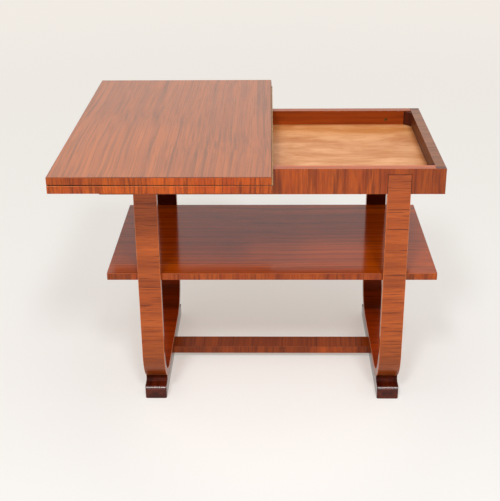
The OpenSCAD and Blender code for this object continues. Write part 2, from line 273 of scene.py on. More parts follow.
def along_walls(tree, place):
    """A distance that runs along a wall, whichever way the wall looks."""
    parts = step(tree, "VectorMath", {0: place, 1: (1, 1, 0)}, out=1, operation="DOT_PRODUCT")
    push = clouds(tree, place, 30.0, 0.0)
    return math_step(tree, "MULTIPLY_ADD", push, STRIP_WOBBLE, parts)


def shaded(tree, colour, amount):
    return step(tree, "VectorMath", {0: colour, "Scale": amount}, operation="SCALE")


print("strips are ready")

# %% [markdown]
# ## Sheets and bands
#
# A board has one long sheet on each face and short crossbanded strips on its edges, so there is a recipe
# for each. The two short rims of the box are darker at their ends, towards the corners. That
# depends only on how far a place is from the middle of the box, so the same sheet recipe can do it.

# %% A long sheet and a crossband
DARK_END_FROM, DARK_END_FULL = 19 * MM, 14 * MM
DARK_END_STRENGTH = 0.9
PALEST_STRIP, DARKEST_STRIP = 1.14, 0.8


def long_sheet(name, along, tones, look, gloss=0.5, roughness=0.22, reach=None):
    """Veneer laid on a face, with its grain along an axis, and dark close to a distance from the middle."""
    material, tree, shader = new_finish(name, Specular_IOR_Level=gloss)
    place = wavy(tree, object_place(tree), width=0.034, scale=1.7)
    colour, pores = figure(tree, squeezed(tree, place, along, keep=0.007), place, tones, **look)
    if reach:
        from_middle = math_step(tree, "ABSOLUTE", one_axis(tree, object_place(tree), "Y"))
        first_dark, all_dark = reach - DARK_END_FROM, reach - DARK_END_FULL
        ends = between(tree, from_middle, first_dark, all_dark, 0.0, DARK_END_STRENGTH)
        colour = blend_colours(tree, ends, colour, tone(88, 34, 8))
    lacquered(tree, shader, colour, pores, roughness)
    return material


def crossband(name, tones, look, gloss=0.3, strips=0.06, first=0, level=1.0):
    """Strips with upright grain, as on the edges of a board."""
    material, tree, shader = new_finish(name, Specular_IOR_Level=gloss)
    place = object_place(tree)
    grain = squeezed(tree, wavy(tree, place, width=0.005, scale=9.0), "Z", keep=0.06)
    colour, pores = figure(tree, grain, place, tones, **look)
    low, high = DARKEST_STRIP * level, PALEST_STRIP * level
    colour = shaded(tree, colour, strip_tone(tree, along_walls(tree, place), strips, low, high, first))
    lacquered(tree, shader, colour, pores)
    return material


print("recipes for sheets and bands")

# %% [markdown]
# ## The tones of each board
#
# Three tones make a veneer: light, brown and dark. The leaves carry the liveliest figure, with greyish
# streaks as long as a hand. The shelf is redder and darker, because the top has kept the daylight off it,
# and its darker tones also carry painted shade from the top and the box above it. The tones were matched to
# the picture one board at a time, since the same walnut has faded by a different amount on each.

# %% Tones and looks
TOP_TONES = [tone(200, 112, 58), tone(176, 99, 58), tone(104, 70, 50)]
# The shelf's tones are darkened partly as painted shade from the top and the box.
SHELF_TONES = [tone(196, 87, 5), tone(164, 66, 3), tone(92, 36, 1)]
EDGE_TONES = [tone(206, 94, 16), tone(170, 66, 10), tone(82, 24, 4)]
BOX_TONES = [tone(190, 88, 20), tone(166, 67, 14), tone(88, 29, 6)]
FRONT_RIM_TONES = [tone(218, 108, 40), tone(194, 90, 30), tone(104, 44, 18)]
BACK_RIM_TONES = [tone(196, 96, 30), tone(172, 80, 22), tone(96, 40, 14)]
SHORT_RIM_TONES = [tone(160, 97, 54), tone(134, 77, 40), tone(82, 42, 22)]
STRETCHER_TOP_TONES = [tone(160, 71, 19), tone(130, 55, 14), tone(76, 26, 6)]
STRETCHER_SIDE_TONES = [tone(170, 76, 22), tone(140, 57, 15), tone(76, 26, 6)]
top_look = dict(band=40.0, streak=80.0, strong=0.42, fibre=0.4, fine=4.0)
shelf_look = dict(band=34.0, streak=110.0, strong=0.5, fibre=0.3, fine=2.6)
edge_look = dict(band=40.0, streak=190.0, strong=0.58, fibre=0.3, fine=2.2)
box_look = dict(band=44.0, streak=115.0, strong=0.5, fibre=0.34, fine=2.8)
rim_look, short_rim_look = dict(strong=0.4), dict(strong=0.6)
print("nine sets of three tones")

# %% [markdown]
# ## Veneers for the boards
#
# Each veneer is a material of its own, so that one board can be changed without the others. The number
# called first picks where the row of random strips starts. It was chosen so that the lightest and
# the darkest strips fall about where the real ones do.

# %% Veneers
box_reach = -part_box("front_apron")[0].y
top_sheet = long_sheet("walnut_top", "Y", TOP_TONES, top_look)
shelf_sheet = long_sheet("walnut_shelf", "X", SHELF_TONES, shelf_look, 0.34, 0.09)
stretcher_sheet = long_sheet("walnut_stretcher", "Y", STRETCHER_TOP_TONES, box_look, 0.05)
rim_long = long_sheet("rim_long", "X", FRONT_RIM_TONES, rim_look)
rim_back = long_sheet("rim_back", "X", BACK_RIM_TONES, rim_look, 0.4)
rim_short = long_sheet("rim_short", "X", SHORT_RIM_TONES, short_rim_look, 0.3, reach=box_reach)
upper_edge = crossband("upper_edge_strips", EDGE_TONES, edge_look, strips=0.05, first=659, level=0.93)
lower_edge = crossband("lower_edge_strips", EDGE_TONES, edge_look, strips=0.05, first=2336, level=1.07)
shelf_edge = crossband("shelf_edge_strips", BOX_TONES, box_look, first=2287, level=0.8)
box_face = crossband("box_strips", BOX_TONES, box_look, first=1438, level=0.86)
stretcher_face = crossband("stretcher_strips", STRETCHER_SIDE_TONES, box_look, first=2723, level=0.96)
print("veneers for the leaves, the box, the shelf and the stretcher")

# %% [markdown]
# ## The bent boards
#
# The end frames are veneered with the grain across the board, so fine lines run round each leg. Their inner
# faces are stained much darker and less polished than the outer ones, and their dark tones also carry
# painted shade. Both faces get painted light and shade that change a little from the floor upwards, because
# the shelf and the box shade them, and a few ranges of height say how.

# %% Veneer with the grain across
def by_height(tree, colour, heights):
    """A colour made darker or lighter with height, once for each (low, high, below, above)."""
    height = one_axis(tree, object_place(tree), "Z")
    for low, high, below, above in heights:
        colour = shaded(tree, colour, between(tree, height, low, high, below, above))
    return colour


def cross_grained(name, tones, gloss, strips, look, heights):
    """Veneer on a bent board, with the grain across the board."""
    material, tree, shader = new_finish(name, Specular_IOR_Level=gloss)
    place = object_place(tree)
    grain = squeezed(tree, wavy(tree, place, width=0.012, scale=6.0), "X", keep=0.02)
    colour, pores = figure(tree, grain, place, tones, **look)
    bands = strip_tone(tree, one_axis(tree, place, "Z"), strips, 0.93, 1.06)
    colour = by_height(tree, shaded(tree, colour, bands), heights)
    lacquered(tree, shader, colour, pores)
    return material


OUTER_TONES = [tone(191, 94, 37), tone(164, 75, 27), tone(90, 34, 12)]
# The inner tones are a darker stain that also carries painted shade, and the height ranges below paint light
# and shade onto both faces.
INNER_TONES = [tone(88, 27, 1), tone(64, 18, 1), tone(36, 8, 0)]
PAINTED_SHADE_TO_THE_FOOT = (0.05, 0.30, 0.7, 1.0)
PAINTED_LIGHT_AT_THE_SEAT = (0.050, 0.056, 1.9, 1.0)
PAINTED_LIGHT_UNDER_THE_SHELF = (0.12, 0.34, 2.4, 1.9)
PAINTED_SHADE_OVER_THE_SHELF = (0.35, 0.38, 1.0, 0.7)
frame_look = dict(band=36.0, streak=330.0, strong=0.75, rare=0.56, fibre=0.3, fine=1.8)
frame_veneer = cross_grained(
    "end_frame_veneer", OUTER_TONES, 0.3, 0.085, frame_look, [PAINTED_SHADE_TO_THE_FOOT]
)
frame_inside = cross_grained(
    "end_frame_inside", INNER_TONES, 0.06, 0.12, frame_look,
    [PAINTED_LIGHT_AT_THE_SEAT, PAINTED_LIGHT_UNDER_THE_SHELF, PAINTED_SHADE_OVER_THE_SHELF],
)
print("veneers for both faces of the end frames")

# %% [markdown]
# ## Black feet
#
# The feet are stained almost black, with a trace of the brown wood under it. Shoes have polished the
# sloping toes, while dust has dulled the flat seats, so one recipe is used three times with another gloss.

# %% Stained feet
def stained_black(name, gloss, roughness):
    material, tree, shader = new_finish(name, roughness, Specular_IOR_Level=gloss)
    grain = squeezed(tree, object_place(tree), "Y", keep=0.05)
    bands = between(tree, clouds(tree, grain, 60.0, 3.0), 0.35, 0.65)
    colour = blend_colours(tree, bands, tone(58, 14, 4), tone(86, 28, 9))
    tree.links.new(colour, shader.inputs["Base Color"])
    spots = clouds(tree, object_place(tree), 40.0)
    rubbed = between(tree, spots, 0.3, 0.7, roughness, roughness + 0.06)
    tree.links.new(rubbed, shader.inputs["Roughness"])
    return material


feet_stain = stained_black("dark_feet", 0.3, 0.12)
seat_stain = stained_black("dull_seats", 0.08, 0.24)
toe_polish = stained_black("polished_toes", 0.8, 0.26)
print("three finishes for the feet")

# %% [markdown]
# ## The floor of the well
#
# The card well is floored with pale ply, darker along its edges. Ply is peeled from a turning log, so its
# figure is broad and patchy and is hardly squeezed here. The darkening comes from the distance to the
# nearest wall.

# %% Pale ply
WELL_GROOVE = Vector((6 * MM, 6 * MM, 0))
DARK_EDGE_WIDTH, DARK_EDGE_STRENGTH = 18 * MM, 0.45


def near_walls(tree, low, high, width):
    """1 at the edges of a rectangle, falling to 0 over a width."""
    centred = step(tree, "VectorMath", {0: object_place(tree), 1: (low + high) / 2}, operation="SUBTRACT")
    size = step(tree, "VectorMath", {0: centred}, operation="ABSOLUTE")
    half_long, half_deep = (high - low).xy / 2
    sides = between(tree, one_axis(tree, size, "X"), half_long - width, half_long)
    ends = between(tree, one_axis(tree, size, "Y"), half_deep - width, half_deep)
    return math_step(tree, "MAXIMUM", sides, ends)


def pale_ply():
    material, tree, shader = new_finish("well_ply", 0.38)
    place = wavy(tree, object_place(tree), width=0.09, scale=4.0)
    grain = squeezed(tree, place, "X", keep=0.3)
    bands = between(tree, clouds(tree, grain, 13.0, 3.0, 0.6), 0.38, 0.62)
    colour = blend_colours(tree, bands, tone(208, 137, 74), tone(234, 170, 114))
    patches = between(tree, clouds(tree, place, 8.0), 0.48, 0.66, 0.0, 0.6)
    colour = blend_colours(tree, patches, colour, tone(200, 122, 58))
    fine = between(tree, clouds(tree, grain, 70.0, 3.0, 0.6), 0.45, 0.65, 0.0, 0.25)
    colour = blend_colours(tree, fine, colour, tone(178, 104, 48))
    # Darker along the walls of the well.
    low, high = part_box("well_floor")
    edges = near_walls(tree, low + WELL_GROOVE, high - WELL_GROOVE, DARK_EDGE_WIDTH)
    edge_darkening = math_step(tree, "MULTIPLY", edges, DARK_EDGE_STRENGTH)
    colour = blend_colours(tree, edge_darkening, colour, tone(150, 76, 30))
    lacquered(tree, shader, colour, fine, 0.34, 0.02)
    return material


ply = pale_ply()
print("ply for the well")

# %% [markdown]
# ## Plain wood, and edges with wear, painted highlight or painted shade
#
# The box is plain stained wood inside, with painted light and shade that make its long walls lighter low
# down and darker towards the rim. Its blocks, darker still from painted shade, and its dowels are plain too.
# The same simple recipe, two tones in bands along the grain, also serves for narrow things that hold no
# figure: eased edges that are darker from wear or carry a painted highlight or painted shade, and the old
# polish in the joints.

# %% Plain wood
def plain_wood(name, light, dark, along, roughness=0.45, gloss=0.5, heights=()):
    material, tree, shader = new_finish(name, roughness, Specular_IOR_Level=gloss)
    grain = squeezed(tree, wavy(tree, object_place(tree), width=0.006), along, keep=0.05)
    bands = between(tree, clouds(tree, grain, 90.0, 4.0, 0.6), 0.3, 0.7)
    colour = by_height(tree, blend_colours(tree, bands, dark, light), heights)
    lacquered(tree, shader, colour, bands, roughness, 0.1)
    return material


wall_low, wall_high = [corner.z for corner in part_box("back_apron")]
# Painted light and shade: the long walls inside the box are lighter low down and darker towards the rim.
painted_light_and_shade_upwards = [(wall_low, wall_high, 1.24, 0.84)]
box_inside_long = plain_wood(
    "box_inside_long", tone(152, 62, 4), tone(124, 46, 2), "X", 0.35, 0.2, painted_light_and_shade_upwards
)
box_inside_short = plain_wood("box_inside_short", tone(110, 54, 22), tone(84, 38, 14), "Y", 0.35, 0.25)
# The corner blocks are dark brown wood, made darker still by painted shade for the inside corners of the
# box.
block_wood_with_painted_shade = plain_wood("corner_block_painted_shade", tone(84, 30, 8), tone(54, 18, 4), "Z", 0.5, 0.2)
beech = plain_wood("beech", tone(206, 168, 122), tone(184, 142, 96), "Y", 0.55)
# Painted shade: a near-black finish for the corners where the two leaves meet.
painted_shade_corner = plain_wood("painted_shade_corner", tone(40, 12, 3), tone(20, 6, 2), "X", 0.7, 0.02)
worn_corner = plain_wood("worn_corner", tone(138, 69, 38), tone(96, 44, 22), "X", 0.4, 0.3)
# The next two finishes are painted highlights for eased corners, the first one softer.
painted_soft_highlight_corner = plain_wood("painted_soft_highlight_corner", tone(180, 92, 46), tone(146, 68, 30), "X", 0.4, 0.25)
painted_highlight_corner = plain_wood("painted_highlight_corner", tone(226, 132, 66), tone(190, 96, 40), "X", 0.3, 0.5)
wax = plain_wood("joint_wax", tone(50, 16, 6), tone(28, 8, 3), "Z", 0.5, 0.2)
print("finishes for the box's inside, the corners and the joints")

# %% [markdown]
# ## Metal and baize
#
# Old brass is bright where it is touched and brown in spots between, and the spots are duller as well, so
# one cloud changes both the colour and the roughness. Baize is felted wool. A very fine bump stands for its
# fibres, and a little sheen gives the soft light edge that cloth has.

# %% Metal and baize
def worn_metal(name, bright, tarnish, roughness):
    material, tree, shader = new_finish(name, roughness, Metallic=1.0)
    spots = between(tree, clouds(tree, object_place(tree), 160.0, 4.0, 0.65), 0.42, 0.62)
    tree.links.new(blend_colours(tree, spots, bright, tarnish), shader.inputs["Base Color"])
    tree.links.new(between(tree, spots, 0.0, 1.0, roughness, roughness + 0.2), shader.inputs["Roughness"])
    return material


def woollen_baize():
    material, tree, shader = new_finish("green_baize", 0.95, Sheen_Weight=0.25, Sheen_Roughness=0.5)
    place = object_place(tree)
    fibres = clouds(tree, place, 1400.0, 3.0, 0.7)
    fuzz = blend_colours(tree, between(tree, fibres, 0.3, 0.7), tone(14, 66, 38), tone(30, 92, 56))
    marks = between(tree, clouds(tree, place, 9.0), 0.5, 0.8, 0.0, 0.3)
    colour = blend_colours(tree, marks, fuzz, tone(58, 104, 66))
    tree.links.new(colour, shader.inputs["Base Color"])
    bump = step(tree, "Bump", {"Height": fibres, "Strength": 0.5, "Distance": 0.3 * MM})
    tree.links.new(bump, shader.inputs["Normal"])
    return material


brass = worn_metal("aged_brass", tone(202, 162, 110), tone(168, 128, 84), 0.36)
steel = worn_metal("plain_steel", tone(150, 148, 146), tone(92, 86, 80), 0.38)
dull_brass = worn_metal("tarnished_brass", tone(104, 92, 52), tone(58, 50, 30), 0.45)
baize = woollen_baize()
print("finishes for the hinge, the fixings and the playing faces")

# %% [markdown]
# ## Which edges to ease
#
# No real board has a razor edge: a maker takes a shaving off each one, and the lacquer rounds it further.
# The sharp edges are found by the angle between their faces. Edges that touch are gathered into rings, and
# a ring no larger than a screw hole is left as it is, because nobody eases the rim of a hole.

# %% Find the edges
SMALL_HOLE = 30 * MM
SAME_PLACE = 1e-6
ON_ONE_LINE = 1e-5
SQUARE_CORNER = math.radians(80)


def long_sharp_edges(mesh, least_angle):
    """Sharp edges, apart from rings that are no larger than a screw hole."""
    sharp = {e for e in mesh.edges if len(e.link_faces) == 2 and e.calc_face_angle(0) > least_angle}
    kept = []
    while sharp:
        ring, ends = [], [sharp.pop()]
        while ends:
            edge = ends.pop()
            ring.append(edge)
            for vertex in edge.verts:
                for other in vertex.link_edges:
                    if other in sharp:
                        sharp.remove(other)
                        ends.append(other)
        spread = [v.co for e in ring for v in e.verts]
        size = max(max(c[i] for c in spread) - min(c[i] for c in spread) for i in range(3))
        if size > SMALL_HOLE:
            kept += ring
    return kept


def upright_corners(mesh):
    """The edges that stand upright at the corners of a board."""
    upright = [e for e in mesh.edges if (e.verts[0].co - e.verts[1].co).xy.length < ON_ONE_LINE]
    return [e for e in upright if len(e.link_faces) == 2 and e.calc_face_angle(0) > SQUARE_CORNER]


def outline_edges(mesh, edges):
    """Those edges that lie on the outline of the piece's box."""
    corners = [v.co for v in mesh.verts]
    low = Vector(min(c[i] for c in corners) for i in range(3))
    high = Vector(max(c[i] for c in corners) for i in range(3))

    def sides(point):
        return {(i, end[i]) for i in range(3) for end in (low, high) if abs(point[i] - end[i]) < ON_ONE_LINE}

    return [e for e in edges if len(sides(e.verts[0].co) & sides(e.verts[1].co)) > 1]


print("rings up to", round(SMALL_HOLE / MM), "mm stay sharp")

# %% [markdown]
# ## Clean copies
#
# The solid pieces are exact, but their flat faces come as many triangles. A copy is cleaned first, so that
# each flat is one face again and a bevel runs along it without a break. Where a dowel hole cuts a face up,
# a plain strip is kept free along the rims, or else the bevel would trip over the cuts.

# %% Clean, soften and finish a mesh
ON_THE_CUT = 1e-7
FLAT_WITHIN, NO_ANGLE = math.radians(0.4), 1e-3
SMOOTH_BELOW = math.radians(50)


def clean_copy(node):
    """A copy of a solid piece's mesh, with each flat as one face."""
    mesh = bmesh.new()
    mesh.from_mesh(frame["nodes"][node].data)
    bmesh.ops.remove_doubles(mesh, verts=mesh.verts, dist=SAME_PLACE)
    bmesh.ops.dissolve_limit(mesh, angle_limit=FLAT_WITHIN, verts=mesh.verts, edges=mesh.edges)
    return mesh


def clear_rims(mesh, depth):
    """Keep a plain strip along the top and the bottom, free of edges that run on to a dowel hole."""
    heights = [v.co.z for v in mesh.verts]
    low, high = min(heights), max(heights)
    for level in (low + depth, high - depth):
        everything = mesh.verts[:] + mesh.edges[:] + mesh.faces[:]
        bmesh.ops.bisect_plane(
            mesh, geom=everything, dist=ON_THE_CUT, plane_co=(0, 0, level), plane_no=(0, 0, 1)
        )

    def crosses(edge):
        ends = sorted(v.co.z for v in edge.verts)
        if ends[1] - ends[0] < SAME_PLACE:
            return False
        return ends[1] > high - SAME_PLACE or ends[0] < low + SAME_PLACE

    flat = [e for e in mesh.edges if len(e.link_faces) == 2 and e.calc_face_angle(1) < NO_ANGLE]
    loose = [e for e in flat if crosses(e)]
    bmesh.ops.dissolve_edges(mesh, edges=loose, use_verts=False, use_face_split=False)


def soften(mesh, edges, width, segments, careful=False):
    """Bevel some edges. A careful bevel stops where it would run into another."""
    bmesh.ops.bevel(
        mesh, geom=edges, offset=width, offset_type="OFFSET", segments=segments, profile=0.5,
        affect="EDGES", material=-1, clamp_overlap=careful, loop_slide=careful,
    )


def finish_mesh(mesh, name, material):
    """Turn a bmesh into an object with smooth bevels and crisp corners."""
    piece = bpy.data.objects.new(name, bpy.data.meshes.new(name))
    for face in mesh.faces:
        face.smooth = True
    for edge in mesh.edges:
        if len(edge.link_faces) == 2:
            edge.smooth = edge.calc_face_angle(0) < SMOOTH_BELOW
    mesh.to_mesh(piece.data)
    mesh.free()
    piece.data.materials.append(material)
    bpy.context.scene.collection.objects.link(piece)
    return piece


print("flats within", round(math.degrees(FLAT_WITHIN), 1), "degrees become one face")

# %% [markdown]
# ## Eased pieces
#
# An eased piece takes the place of its solid. No bevel may reach past the solid's own box, so each point is
# held inside it, and faces that this flattens away are removed. Weighted normals then keep the large flats
# looking flat. `dress` gives single faces another finish, by simple tests on where a face is and which way
# it looks.

# %% A copy with eased edges
USUAL_EASE = 0.7 * MM
ROUND_SEGMENTS = 4
EASE_ABOVE, EASE_RECESS_ABOVE = math.radians(35), math.radians(50)


def eased(node, name, material, width=USUAL_EASE, segments=2, corner=0.0, inner=None):
    """An eased copy of a solid. Corner rounds its upright edges, and inner eases its recesses less."""
    mesh = clean_copy(node)
    if corner:
        clear_rims(mesh, 2 * width)
        soften(mesh, upright_corners(mesh), corner, ROUND_SEGMENTS)
    edges = long_sharp_edges(mesh, EASE_ABOVE)
    if inner:
        outer = outline_edges(mesh, edges)
        soften(mesh, outer, width, segments)
        kept = long_sharp_edges(mesh, EASE_RECESS_ABOVE)
        soften(mesh, kept, inner, 1, careful=True)
    else:
        soften(mesh, edges, width, segments)
    low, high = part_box(node)
    for vertex in mesh.verts:
        vertex.co = [min(max(vertex.co[i], low[i]), high[i]) for i in range(3)]
    bmesh.ops.dissolve_degenerate(mesh, dist=2 * SAME_PLACE, edges=mesh.edges)
    piece = finish_mesh(mesh, name, material)
    piece.modifiers.new("flats", "WEIGHTED_NORMAL").keep_sharp = True
    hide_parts(node)
    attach(piece, frame["nodes"][node]["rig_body"])
    return piece


def dress(piece, *rules):
    """Give each face the finish of the first rule that holds, or else leave it the piece's own."""
    for material, test in rules:
        piece.data.materials.append(material)
    for face in piece.data.polygons:
        for number, (material, test) in enumerate(rules, start=1):
            if test(face.center, face.normal):
                face.material_index = number
                break


print("edges of", round(USUAL_EASE / MM, 1), "mm unless a piece says otherwise")

# %% [markdown]
# ## The flat boards
#
# Which veneer a face gets follows from the way it looks: up or down for the sheets, sideways for the
# strips. The eased corners have been handled for ninety years, and some are darker from wear. Painted shade
# darkens the corners where the two leaves meet, and elsewhere painted highlights lighten the upper corners,
# so they get finishes of their own. The shelf also has its plan corners rounded.

# %% The flat boards
UPRIGHT, LEVEL = 0.25, 0.97
RIM_OF_CORNER = 0.6
MORE_EDGE_THAN_FACE = 0.7
RECESS_EASE = 0.3 * MM


def is_edge(centre, normal):
    return abs(normal.z) < MORE_EDGE_THAN_FACE


def is_corner(centre, normal):
    return UPRIGHT < abs(normal.z) < LEVEL


def is_upper_corner(centre, normal):
    return UPRIGHT < normal.z < LEVEL


def is_rim_of_corner(centre, normal):
    return RIM_OF_CORNER < normal.z < LEVEL


# The top leaf's upper corners are darker from wear, and its lower corners carry painted shade where the
# leaves meet. The lower leaf's flattest corner faces carry painted shade there too, the rest a painted
# highlight. The shelf's upper corners carry a softer painted highlight, and the stretcher's are darker from
# wear.
top_corners = [(worn_corner, is_upper_corner), (painted_shade_corner, is_corner)]
under_corners = [(painted_shade_corner, is_rim_of_corner), (painted_highlight_corner, is_upper_corner)]
shelf_corners = [(painted_soft_highlight_corner, is_upper_corner)]
stretcher_corners = [(worn_corner, is_upper_corner)]
# The numbers are the easing of the edges and the rounding of the plan corners, both in millimetres.
BOARDS = [
    ("upper_leaf", "top_board", top_sheet, upper_edge, 1.4, 0, top_corners),
    ("lower_leaf", "under_board", top_sheet, lower_edge, 1.0, 0, under_corners),
    ("shelf", "shelf_board", shelf_sheet, shelf_edge, 0.9, 3.0, shelf_corners),
    ("stretcher", "stretcher_board", stretcher_sheet, stretcher_face, 0.7, 0, stretcher_corners),
]
# Each board's corner finishes are wear, painted shade or painted highlight.
for node, name, face, edge, ease, corner, marks in BOARDS:
    inner = RECESS_EASE if "leaf" in node else None
    board = eased(node, name, face, ease * MM, 2, corner * MM, inner)
    dress(board, *marks, (edge, is_edge))
    print(name, len(board.data.polygons), "faces")

# %% [markdown]
# ## The box
#
# Four walls make the box. Each has strips outside, plain stained wood inside, and a long sheet on its rim,
# which shows because the top is turned aside. Inside and outside are told apart by one test: an inner face
# looks towards the middle of the well.

# %% The box
BOX = [
    ("front_apron", "box_front", rim_long, box_inside_long),
    ("back_apron", "box_back", rim_back, box_inside_long),
    ("left_apron", "box_left", rim_short, box_inside_short),
    ("right_apron", "box_right", rim_short, box_inside_short),
]
box_middle = sum(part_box("well_floor"), Vector()) / 2


def looks_into_box(centre, normal):
    return abs(normal.z) < 0.3 and normal.xy.dot((centre - box_middle).xy) < 0


for node, name, rim, inner in BOX:
    wall = eased(node, name, rim)
    dress(wall, (inner, looks_into_box), (box_face, is_edge))
    print(name, len(wall.data.polygons), "faces")

# %% [markdown]
# ## End frames
#
# Each end frame is one board, bent to a U that makes two legs and the part between them. Its inner faces
# look towards the middle of the U and get the dark stain, which also carries painted shade. The eased
# corners along both sides of the board carry a painted highlight, which draws a fine bright line down each
# leg.

# %% End frames
FRAME_MIDDLE = Vector((0, 0, 0.38))
LEAST_INWARD = 0.02
FRAME_EASE = 0.9 * MM


def looks_inwards(centre, normal):
    across = (centre - FRAME_MIDDLE).yz
    return normal.yz.dot(across) < -LEAST_INWARD


def is_side_corner(centre, normal):
    return UPRIGHT < abs(normal.x) < LEVEL


# Painted highlight on the side corners, and dark stain with painted shade on the inner faces.
for side in ("left", "right"):
    bent = eased(f"{side}_end_frame", f"end_frame_{side}", frame_veneer, FRAME_EASE)
    dress(bent, (painted_highlight_corner, is_side_corner), (frame_inside, looks_inwards))
    print(bent.name, len(bent.data.polygons), "faces")

# %% [markdown]
# ## Feet
#
# The frames stand on two dark rails. What looks upwards is dull, apart from the rounded toe at each end,
# which is polished and catches the light.

# %% Feet
TOE_LONG = 15 * MM
FOOT_EASE = 0.9 * MM
toe_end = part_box("left_base_rail")[1].y


def looks_up(centre, normal):
    return normal.z > 0.2


def is_toe(centre, normal):
    return 0.2 < normal.z < 0.94 and abs(normal.x) < 0.3 and abs(centre.y) > toe_end - TOE_LONG


for side in ("left", "right"):
    rail = eased(f"{side}_base_rail", f"foot_{side}", feet_stain, FOOT_EASE, 3)
    dress(rail, (toe_polish, is_toe), (seat_stain, looks_up))
    print(rail.name, len(rail.data.polygons), "faces")

# %% [markdown]
# ## Screws with slots
#
# The table is held with old countersunk screws, and each head has one slot, turned as the screw happened to
# stop. The solid screws have plain heads. In the copies, two cuts across a head leave a narrow strip
# between them, and the strip is pushed down to make the slot.

# %% Cut a slot across a face
def only_vertices(parts):
    return [part for part in parts if isinstance(part, bmesh.types.BMVert)]


def cut_slot(mesh, face, turn, width, depth):
    centre, up = face.calc_center_median(), face.normal.copy()
    along = up.orthogonal().normalized()
    along.rotate(Matrix.Rotation(turn, 3, up))
    across = up.cross(along)
    parts = [face, *face.edges, *face.verts]
    for side in (-1, 1):
        cut = bmesh.ops.bisect_plane(
            mesh, geom=parts, plane_co=centre + across * side * width / 2, plane_no=across, dist=ON_THE_CUT
        )
        parts = cut["geom"]
    strips = [part for part in parts if isinstance(part, bmesh.types.BMFace)]
    middle = min(strips, key=lambda f: (f.calc_center_median() - centre).length)
    made = bmesh.ops.extrude_face_region(mesh, geom=[middle])["geom"]
    bmesh.ops.translate(mesh, vec=-up * depth, verts=only_vertices(made))
    if middle.is_valid:
        bmesh.ops.delete(mesh, geom=[middle], context="FACES_ONLY")


print("a slot is two cuts and a push")

# %% [markdown]
# ## The table's own screws
#
# Screws hold the leg heads, the feet and the pivot's plate. A head is found as the large round face of its
# screw. Every next slot is turned further by an odd angle, so that no two in a row stand alike.

# %% Slotted screws
HEAD_AREA = 40 * MM**2
FIRST_TURN, NEXT_TURN = 0.5, 1.9
SLOT_WIDE, SLOT_DEEP = 1.2 * MM, 1.1 * MM


def slotted(node, name, material):
    mesh = clean_copy(node)
    heads = [f for f in mesh.faces if len(f.verts) > 8 and f.calc_area() > HEAD_AREA]
    for number, face in enumerate(heads):
        cut_slot(mesh, face, FIRST_TURN + NEXT_TURN * number, SLOT_WIDE, SLOT_DEEP)
    piece = finish_mesh(mesh, name, material)
    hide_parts(node)
    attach(piece, frame["nodes"][node]["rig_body"])
    print(name, len(heads), "slots")


for corner in ("front_left", "front_right", "back_left", "back_right"):
    slotted(f"lap_screws_{corner}", f"head_screws_{corner}", dull_brass)
for side in ("left", "right"):
    slotted(f"rail_screws_{side}", f"foot_screws_{side}", steel)
slotted("pivot_plate_screws", "plate_screws", steel)

# %% [markdown]
# ## Hinge screws
#
# The long hinge is held by a row of small brass screws in each plate. A head is hardly wider than the
# plate's rim, so it is modelled as a low disc with a slot, turned upright onto the edge of the leaf.

# %% Hinge screws
SCREWS_IN_ROW = 10
HEAD_BELOW, HEAD_ABOVE, HEAD_THICK = 2.4 * MM, 2.1 * MM, 0.3 * MM
PLATE_THICK, HEAD_RISE = 0.6 * MM, 0.1 * MM
PLATE_MIDDLE = 5.5 * MM
SMALL_SLOT_WIDE, SMALL_SLOT_DEEP = 0.8 * MM, 0.25 * MM


def hinge_screws(name, height, body):
    low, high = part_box("hinge_lower_plate")
    plate_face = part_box("lower_leaf")[1].x + PLATE_THICK
    mesh = bmesh.new()
    pitch = (high.y - low.y) / SCREWS_IN_ROW
    for number in range(SCREWS_IN_ROW):
        known = set(mesh.verts)
        bmesh.ops.create_cone(
            mesh, cap_ends=True, segments=20, radius1=HEAD_BELOW, radius2=HEAD_ABOVE, depth=HEAD_THICK
        )
        fresh = [v for v in mesh.verts if v not in known]
        discs = [f for f in mesh.faces if f.verts[0] in fresh and len(f.verts) > 8]
        top = max(discs, key=lambda f: f.normal.z)
        cut_slot(mesh, top, 0.4 + 2.3 * number, SMALL_SLOT_WIDE, SMALL_SLOT_DEEP)
        fresh = [v for v in mesh.verts if v not in known]
        upright = Matrix.Rotation(math.pi / 2, 3, "Y")
        bmesh.ops.rotate(mesh, cent=(0, 0, 0), matrix=upright, verts=fresh)
        place = (plate_face + HEAD_RISE, low.y + pitch * (number + 0.5), height)
        bmesh.ops.translate(mesh, vec=place, verts=fresh)
    piece = finish_mesh(mesh, name, dull_brass)
    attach(piece, body)
    print(name, SCREWS_IN_ROW, "screws")


hinge_screws("hinge_screws_lower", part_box("hinge_lower_plate")[0].z + PLATE_MIDDLE, "lower_top")
hinge_screws("hinge_screws_upper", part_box("hinge_upper_plate")[1].z - PLATE_MIDDLE, "upper_top")

# %% [markdown]
# ## Dark lines round the leg heads
#
# Each leg head is let into the box, flush with its face. Ninety years of polish have gathered in the joint,
# so a dark line frames the head. A ring is made by insetting a plain face, its bottom strip is taken away,
# and what is left is pushed a little into the groove between the eased edges.

# %% Joint lines
LINE_WIDE, LINE_DEEP = 2.2 * MM, 0.8 * MM
LINE_UNDER_FACE = 0.03 * MM


